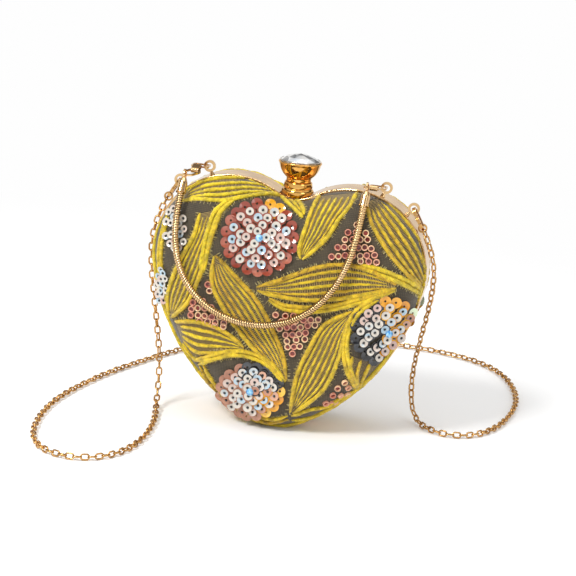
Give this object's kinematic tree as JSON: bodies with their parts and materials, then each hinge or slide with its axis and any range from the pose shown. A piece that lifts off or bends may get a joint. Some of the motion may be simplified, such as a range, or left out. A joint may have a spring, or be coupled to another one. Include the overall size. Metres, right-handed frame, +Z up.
{
  "type": "heart shaped purse",
  "caption": "Heart-shaped hard-shell evening purse that opens on a tip hinge, with embroidered domed halves, a push-knob latch, a snake-chain handle and a long link chain.",
  "frame": {"origin": "on the standing surface under the heart's tip, in the parting plane between the two halves", "axes": "+Z up, +X to the viewer's right, the embroidered front faces -Y"},
  "size_m": [0.2544, 0.3191, 0.1532],
  "materials": {
    "champagne_metal": "polished champagne-gold plate",
    "amber_gold": "polished amber-gold plate",
    "chain_metal": "gold-anodised links",
    "inner_steel": "plain",
    "shell": "moulded, satin lined",
    "embroidered_cloth": "dark taupe cloth with raised yellow cord work",
    "crystal": "faceted, clear"
  },
  "bodies": {
    "front_half": {"front_frame": "champagne_metal", "front_shell": "shell", "front_cover": "embroidered_cloth", "hinge_pin": "inner_steel", "front_hinge_leaf": "champagne_metal", "clasp_collar": "amber_gold", "clasp_bridge": "inner_steel", "knob_spring": "inner_steel", "handle_eyelet_left": "champagne_metal", "handle_eyelet_right": "champagne_metal", "chain_eyelet_left": "champagne_metal", "chain_eyelet_right": "champagne_metal", "clip_wire_left": "champagne_metal", "clip_wire_right": "champagne_metal", "chain_clasp_left": "champagne_metal", "chain_clasp_right": "champagne_metal", "chain_ring_left": "champagne_metal", "chain_ring_right": "champagne_metal", "chain_left": "chain_metal", "chain_back": "chain_metal", "chain_right": "chain_metal"},
    "back_half": {"back_frame": "champagne_metal", "back_shell": "shell", "back_cover": "embroidered_cloth", "back_hinge_leaf": "champagne_metal", "catch_hook": "inner_steel"},
    "knob": {"knob_cup": "amber_gold", "knob_crystal": "crystal", "knob_stem": "inner_steel", "latch_bar": "inner_steel"},
    "handle_clips": {"clip_tab_left": "champagne_metal", "clip_tab_right": "champagne_metal", "oval_ring_left": "champagne_metal", "oval_ring_right": "champagne_metal"},
    "handle_loop": {"snake_chain": "champagne_metal", "handle_cap_left": "champagne_metal", "handle_cap_right": "champagne_metal"},
    "lever_left": {"clasp_lever_left": "champagne_metal"},
    "lever_right": {"clasp_lever_right": "champagne_metal"}
  },
  "joints": [
    {"name": "back_open", "type": "hinge", "parent": "front_half", "child": "back_half", "pos_m": [0, 0, 0.0022], "axis": [-1, 0, 0], "range_deg": [0, 95]},
    {"name": "knob_push", "type": "slide", "parent": "front_half", "child": "knob", "axis": [0, 0, -1], "range_m": [0, 0.002], "stiffness_N_per_m": 800, "deforming": ["knob_spring"]},
    {"name": "clip_swing", "type": "hinge", "parent": "front_half", "child": "handle_clips", "pos_m": [0, -0.01035, 0.14073], "axis": [-1, 0, 0], "range_deg": [0, 130]},
    {"name": "handle_swing", "type": "hinge", "parent": "handle_clips", "child": "handle_loop", "pos_m": [-0.05965, -0.02208, 0.13791], "axis": [-0.9986, 0.0086, -0.0518], "range_deg": [0, 115]},
    {"name": "lever_left_press", "type": "hinge", "parent": "front_half", "child": "lever_left", "pos_m": [-0.0699, -0.00675, 0.12418], "axis": [-0.866, 0, 0.5], "range_deg": [0, 20], "stiffness_Nm_per_rad": 0.002},
    {"name": "lever_right_press", "type": "hinge", "parent": "front_half", "child": "lever_right", "pos_m": [0.0699, -0.00675, 0.12418], "axis": [-0.866, 0, -0.5], "range_deg": [0, 20], "stiffness_Nm_per_rad": 0.002}
  ]
}
